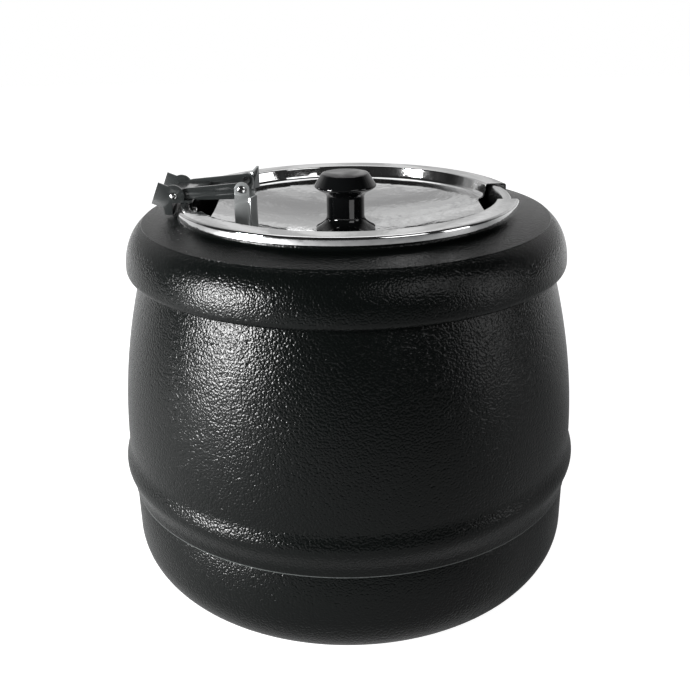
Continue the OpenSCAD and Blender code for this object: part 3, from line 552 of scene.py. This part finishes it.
def pot():
    """Deep-drawn pot with its rolled rim."""
    corner_x, corner_z = POT_OUT - POT_CORNER, POT_Z + POT_CORNER
    bend_x, bend_z = POT_OUT + RIM_BEND, RIM_TOP - RIM_BEND - POT_T
    inner_corner = POT_CORNER - POT_T
    inner_bend = RIM_BEND + POT_T
    profile = [(0, POT_Z)] + arc(corner_x, corner_z, POT_CORNER, POT_CORNER, -90, 0, 24)
    profile += [(POT_OUT, bend_z)] + arc(bend_x, bend_z, RIM_BEND, RIM_BEND, 180, 90, 8)
    profile += arc(RIM_R, RIM_TOP - RIM_D / 2, RIM_D / 2, RIM_D / 2, 160, 440, 26)
    profile += [(bend_x, RIM_TOP)] + arc(bend_x, bend_z, inner_bend, inner_bend, 90, 180, 8)
    profile += arc(corner_x, corner_z, inner_corner, inner_corner, 0, -90, 24) + [(0, POT_Z + POT_T)]
    piece = link(lathe(profile), "pot_liner", "stainless", "pot")
    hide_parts("inset_pot")


def edge_cut(distance, half_width, side):
    """Cutter for a rounded gap in the lid's edge, on the side -1 or 1 along X."""
    corner_x, corner_y = distance + NOTCH_ROUND, half_width - NOTCH_ROUND
    outline = arc(corner_x, -corner_y, NOTCH_ROUND, NOTCH_ROUND, 270, 180, 14)
    outline += arc(corner_x, corner_y, NOTCH_ROUND, NOTCH_ROUND, 180, 90, 14)
    outline += [(distance + PAST_EDGE, half_width), (distance + PAST_EDGE, -half_width)]
    return prism([(side * x, y) for x, y in outline], DISH_Z - 20, DISH_Z + 60)


def lid():
    """Skirt, flat ring and dish, cut away at the hinge, at the notch and for the knob's screw."""
    skirt_x, skirt_z = LID_R - SKIRT_BEND, RING_Z - SKIRT_BEND
    fold_z = RING_Z - RING_BEND
    inner_skirt = SKIRT_BEND - LID_T
    inner_fold = RING_BEND - LID_T
    radii = [DISH_R * i / DISH_STEPS for i in range(DISH_STEPS + 1)]
    # the upper side, from the skirt inwards
    profile = [(LID_R - LID_T, RING_Z - SKIRT_H), (LID_R, RING_Z - SKIRT_H)]
    profile += arc(skirt_x, skirt_z, SKIRT_BEND, SKIRT_BEND, 0, 90, 12)
    profile += [(RING_R, RING_Z)] + arc(RING_IN, fold_z, RING_BEND, RING_BEND, 90, 168, 10)
    profile += [(DISH_R + 1.2, DISH_EDGE + 2.4), (DISH_R + 0.7, DISH_EDGE + 1.0), (DISH_R, DISH_EDGE + 0.2)]
    profile += [(r, dish(r)) for r in reversed(radii[:-1])]
    # the under side, outwards again
    profile += [(r, dish(r) - LID_T) for r in radii]
    profile += [(DISH_R + 1.4, DISH_EDGE - 0.4), (DISH_R + 2.1, DISH_EDGE + 2.2)]
    profile += arc(RING_IN, fold_z, inner_fold, inner_fold, 168, 90, 8)
    profile += arc(skirt_x, skirt_z, inner_skirt, inner_skirt, 90, 0, 10)
    piece = link(lathe(profile, 320), "lid_skin", "mirror_lid", "lid")
    screw_hole = rod(SCREW_R, (0, 0, DISH_Z - 5), (0, 0, DISH_Z + 5))
    cut(piece, [edge_cut(*HINGE_GAP, -1), edge_cut(*LADLE_NOTCH, 1), screw_hole])
    shade(piece, 40)
    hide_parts("lid")


def knob():
    """Knob turned from one piece: foot, waist and wide top."""
    foot, waist, top = KNOB_FOOT_R, KNOB_WAIST_R, KNOB_TOP_R
    edge_z = DISH_Z + KNOB_H * KNOB_EDGE
    flare_h = KNOB_H * KNOB_FLARE
    neck_h = KNOB_H * KNOB_NECK
    foot_z = DISH_Z + 2.2
    top_z = DISH_Z + KNOB_H
    profile = [(SCREW_R, DISH_Z + 0.2), (foot - 1.2, dish(foot) + 0.05), (foot - 0.3, dish(foot) + 0.3)]
    profile += [(foot, DISH_Z + 1.2), (foot, foot_z)]
    for i in range(1, 21):
        profile += [(waist + (foot - waist) * (1 - i / 20) ** 2.2, foot_z + flare_h * i / 20)]
    for i in range(22):
        profile += [(waist + (top - waist) * (i / 24) ** 2, edge_z - neck_h * (1 - i / 24))]
    profile += arc(top - 1.6, edge_z + 1.4, 1.6, 1.4, -30, 50, 10)
    profile += [(top - 5.2, top_z - 0.9), (top - 5.8, top_z - 0.3), (top - 6.8, top_z), (0, top_z)]
    profile += [(0, DISH_Z + KNOB_H * 0.5), (2.5, DISH_Z + KNOB_H * 0.5)]
    piece = link(lathe(profile, 128), "knob_turned", "gloss_knob", "lid", 40)
    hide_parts("lid_knob")


barrel()
collar()
base()
pot()
lid()
knob()
bevelled("hinge_bracket", "bracket_sheet", 0.35)
bevelled("yoke", "yoke_sheet", 0.3)
bevelled("lug_near", "lug_sheet_near", 0.3)
bevelled("lug_far", "lug_sheet_far", 0.3)
bevelled("dial", "dial_moulding", 0.4)


# ------------------------------------------------------------------ camera
CAMERA_PLACE = Vector((-0.0021, -0.6577, 0.4376))
CAMERA_PITCH = math.radians(21.66)
CAMERA_ROLL = math.radians(-0.94)

lens = bpy.data.cameras.new("camera")
lens.lens = 47.0
lens.sensor_width = 36.0
lens.clip_end = 20
camera = bpy.data.objects.new("camera", lens)
SCENE.collection.objects.link(camera)
SCENE.camera = camera
camera.matrix_world = (Matrix.Translation(CAMERA_PLACE)
                       @ Matrix.Rotation(math.radians(90) - CAMERA_PITCH, 4, "X")
                       @ Matrix.Rotation(CAMERA_ROLL, 4, "Z"))


# ------------------------------------------------------------------ stage and light
FLOOR_REACH = 4.0
FLOOR_GLOW = 0.90
ROOM_COLOUR = (0.55, 0.57, 0.58, 1)
ROOM_STRENGTH = 0.36
# greys that gloss sees: of the panels round the room, and by height above the horizon
PANEL_TONES = ((0.42, 0.65), (0.58, 1.0))
HEIGHT_TONES = ((0.0, 0.72), (0.12, 0.72), (0.27, 0.85), (0.52, 0.60), (0.66, 0.85), (1.0, 0.5))
# name, place, what it faces, size and watts
LIGHTS = (("key", (-1.32, -0.76, 0.46), (0, 0, 0.22), (0.42, 0.50), 60),
          ("top", (0.0, 0.5, 1.6), (0, 0, 0.2), (1.2, 0.8), 4),
          ("fill", (1.5, -0.5, 0.5), (0, 0, 0.15), (0.5, 0.9), 4),
          ("soft", (0.7, -0.9, 0.95), (0, 0, 0.25), (0.6, 0.5), 2.5))


def seen_white(graph):
    """1 for the rays that show the white background: camera, glossy and transmission rays."""
    path = graph.node("ShaderNodeLightPath").outputs
    shown = graph.math("MAXIMUM", path["Is Camera Ray"], path["Is Glossy Ray"])
    return graph.math("MAXIMUM", shown, path["Is Transmission Ray"])


def floor():
    """Pale floor that looks white but keeps its shadow; gloss sees it unlit except far behind the kettle."""
    pale = Material("floor_pale")
    pale.set(Base_Color=(0.5, 0.5, 0.5, 1), Roughness=0.9, Specular_IOR_Level=0.1)
    glossy = pale.node("ShaderNodeLightPath").outputs["Is Glossy Ray"]
    near = pale.maprange(pale.separate(pale.place)["Y"], 0.2, 1.1, 1.0, 0.0)
    kept = pale.math("SUBTRACT", 1.0, pale.math("MULTIPLY", glossy, near))
    strength = pale.math("MULTIPLY", pale.math("MULTIPLY", seen_white(pale), kept), FLOOR_GLOW)
    glow = pale.node("ShaderNodeEmission", Color=(1, 1, 1, 1), Strength=strength)
    both = pale.node("ShaderNodeAddShader")
    pale.feed(both.inputs[0], pale.shader.outputs[0])
    pale.feed(both.inputs[1], glow.outputs[0])
    pale.feed(pale.tree.nodes["Material Output"].inputs["Surface"], both.outputs[0])
    bm = bmesh.new()
    bmesh.ops.create_grid(bm, x_segments=1, y_segments=1, size=FLOOR_REACH)
    mesh = mesh_from(bm, "floor")
    mesh.materials.append(pale.data)
    place_mesh("floor", mesh)


def studio():
    """World: a soft grey room for diffuse light, and white for what the camera sees.

    Gloss sees pale panels behind the kettle, and the open, dark room in front of it.
    """
    world = bpy.data.worlds.new("studio")
    SCENE.world = world
    world.use_nodes = True
    world.node_tree.nodes.clear()
    sky = Graph(world.node_tree)
    way = sky.node("ShaderNodeTexCoord").outputs["Generated"]
    parts = sky.separate(way)
    stretched = sky.node("ShaderNodeMapping", Vector=way, Scale=(13.0, 13.0, 3.0)).outputs[0]
    panels = sky.node("ShaderNodeTexNoise", Vector=stretched, Scale=1.5, Detail=1.5).outputs["Fac"]
    behind = sky.maprange(parts["Y"], 0.15, 0.75, 0.04, 1.0, smooth=True)
    level = sky.math("MULTIPLY", behind, sky.ramp(parts["Z"], HEIGHT_TONES, "EASE"))
    shown = sky.tree.nodes.new("ShaderNodeVectorMath")
    shown.operation = "SCALE"
    sky.feed(shown.inputs[0], sky.ramp(panels, PANEL_TONES))
    sky.feed(shown.inputs["Scale"], level)
    glossy = sky.node("ShaderNodeLightPath").outputs["Is Glossy Ray"]
    white = sky.node("ShaderNodeBackground", Color=sky.mix(glossy, (1, 1, 1), shown.outputs[0]))
    room = sky.node("ShaderNodeBackground", Color=ROOM_COLOUR, Strength=ROOM_STRENGTH)
    mixed = sky.node("ShaderNodeMixShader")
    sky.feed(mixed.inputs[0], seen_white(sky))
    sky.feed(mixed.inputs[1], room.outputs[0])
    sky.feed(mixed.inputs[2], white.outputs[0])
    sky.node("ShaderNodeOutputWorld", Surface=mixed.outputs[0])


def area_light(name, place, target, size, watts):
    data = bpy.data.lights.new(name, "AREA")
    data.shape = "RECTANGLE"
    data.size, data.size_y = size
    data.energy = watts
    lamp = bpy.data.objects.new(name, data)
    SCENE.collection.objects.link(lamp)
    turn = (Vector(target) - Vector(place)).to_track_quat("-Z", "Y").to_matrix().to_4x4()
    lamp.matrix_world = Matrix.Translation(Vector(place)) @ turn


floor()
studio()
for light in LIGHTS:
    area_light(*light)
SCENE.view_settings.view_transform = "Standard"
